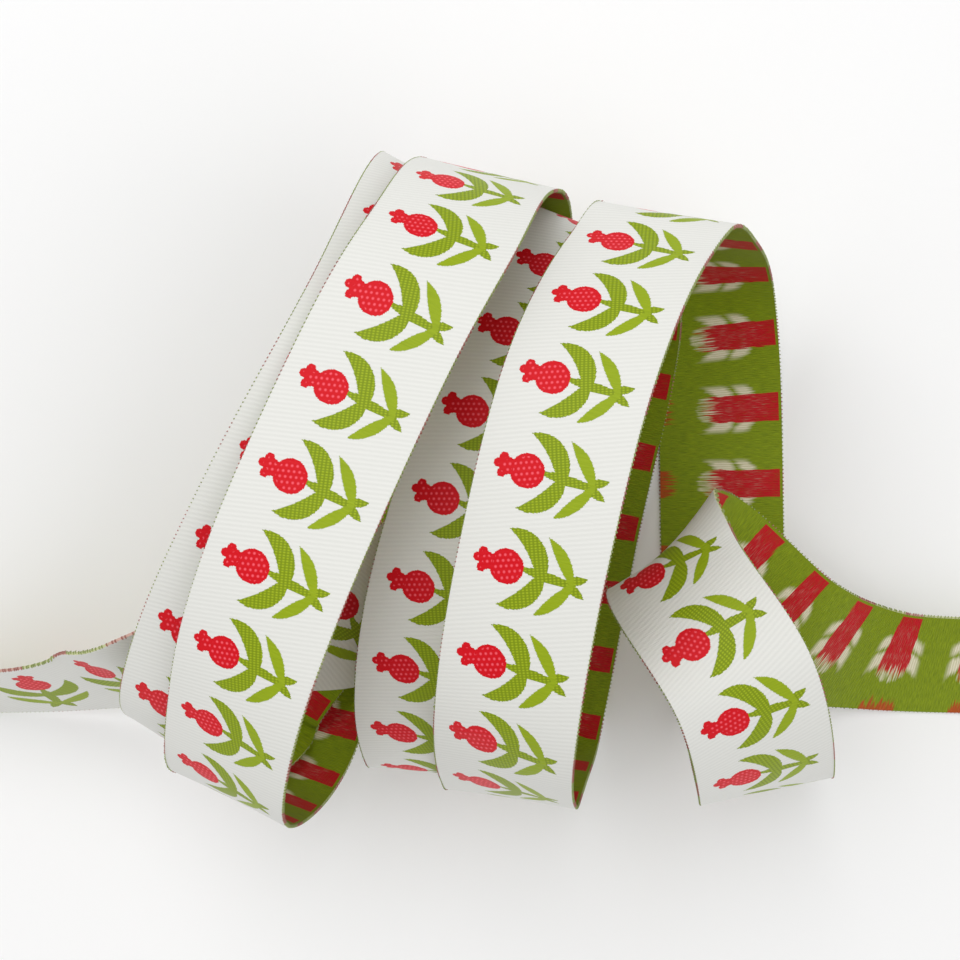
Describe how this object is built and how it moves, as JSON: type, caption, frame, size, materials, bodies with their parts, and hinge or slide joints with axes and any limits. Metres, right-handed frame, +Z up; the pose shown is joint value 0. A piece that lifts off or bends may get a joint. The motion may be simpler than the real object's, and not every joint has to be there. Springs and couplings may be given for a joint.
{
  "type": "jacquard ribbon",
  "caption": "Narrow woven ribbon wound in a loose open coil lying on its side, one flap folded over, with a free end to each side.",
  "frame": {"origin": "middle of the footprint, on the surface that the ribbon lies on", "axes": "+X along the row of rounds, from the left end to the right end; +Y from the low bends to the far bends; +Z up"},
  "size_m": [0.1976, 0.1078, 0.0707],
  "materials": {
    "woven_cloth": "white jacquard twill with red and green figures, green floats on the back"
  },
  "bodies": {
    "root": {"ribbon": "woven_cloth"}
  },
  "joints": []
}
